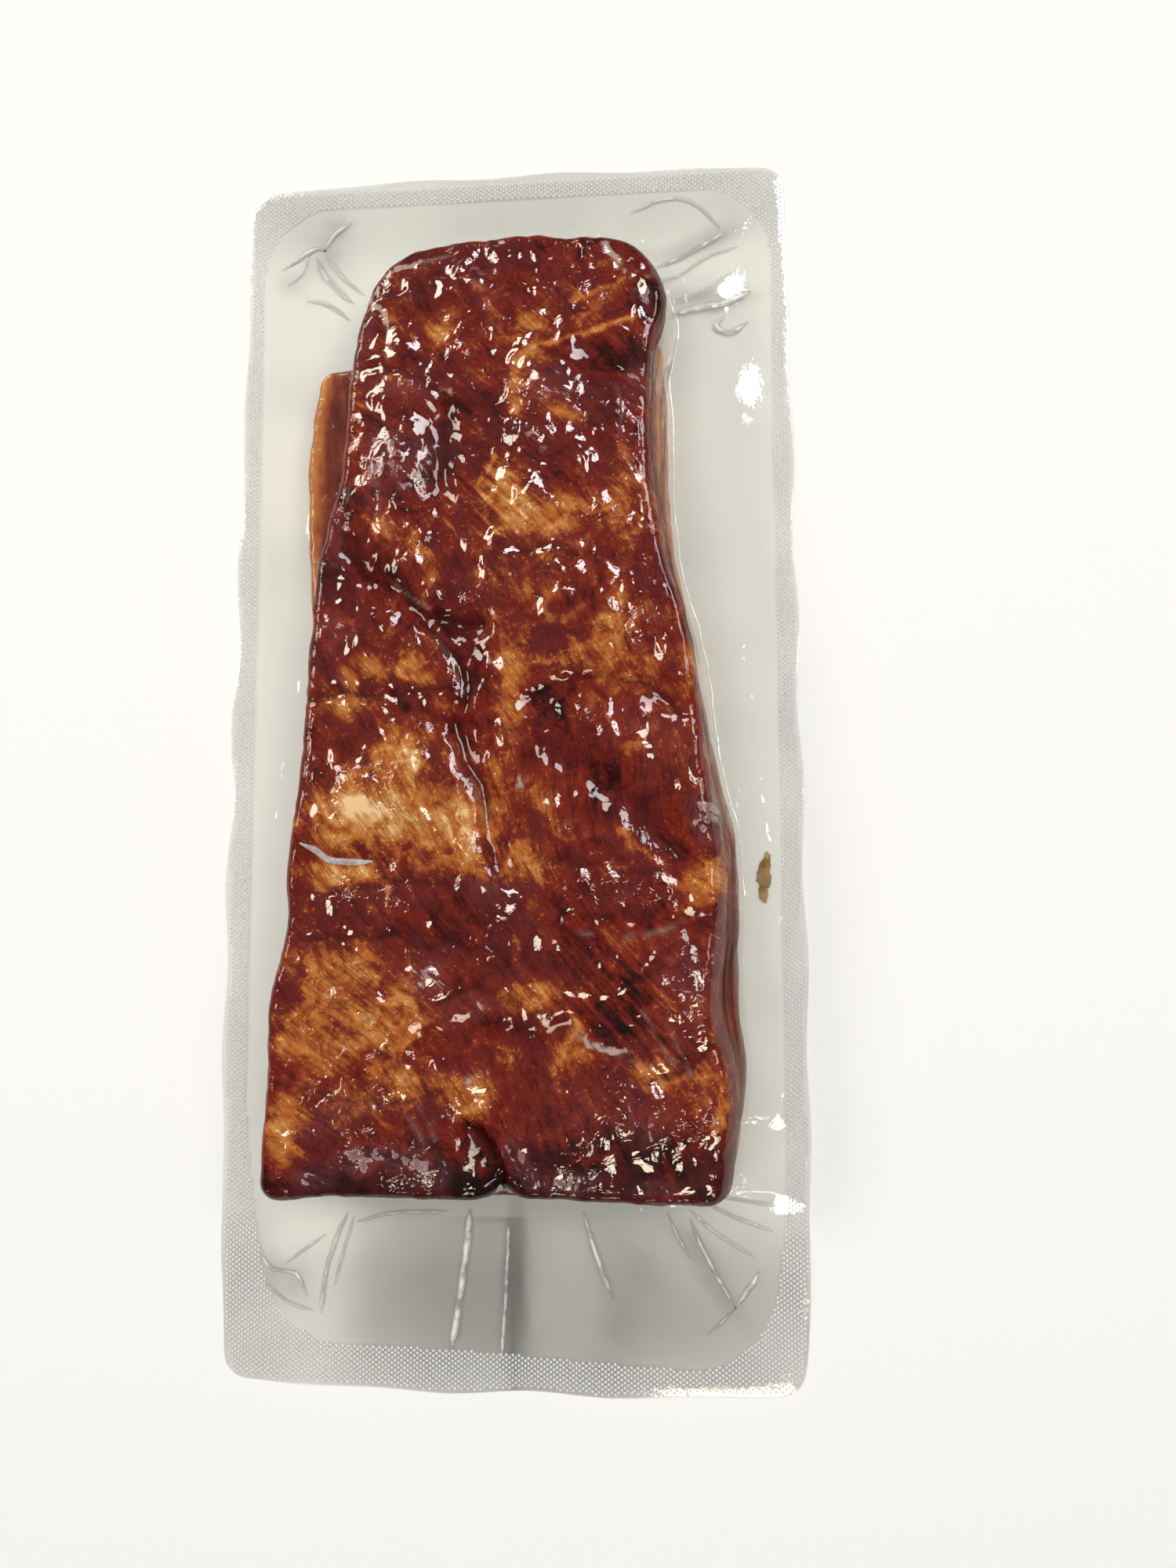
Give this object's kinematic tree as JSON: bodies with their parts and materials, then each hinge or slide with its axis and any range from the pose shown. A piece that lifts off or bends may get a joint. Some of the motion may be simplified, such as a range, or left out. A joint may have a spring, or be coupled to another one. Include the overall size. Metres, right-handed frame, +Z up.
{
  "type": "bacon pack",
  "caption": "Vacuum pack of smoked bacon: clear film bag with a sealed border, drawn down on a tapered slab of bacon that lies rib side up on another layer.",
  "frame": {"origin": "centre of the bag's outline, on the surface that the pack lies on", "axes": "+Z up, +Y along the bag towards the round, narrow end of the bacon, +X to the right seen from above with that end away from the viewer"},
  "size_m": [0.194, 0.409, 0.038],
  "materials": {
    "film": "clear heat-sealed vacuum film, glossy, with a knurled seal",
    "rind_layer": "smoked rind and fat, orange brown, glossy under film",
    "bacon": "smoked lean and amber fat, dark red brown, glossy under film"
  },
  "bodies": {
    "root": {"vacuum_bag": "film", "bacon_lower": "rind_layer", "bacon_upper": "bacon"}
  },
  "joints": []
}
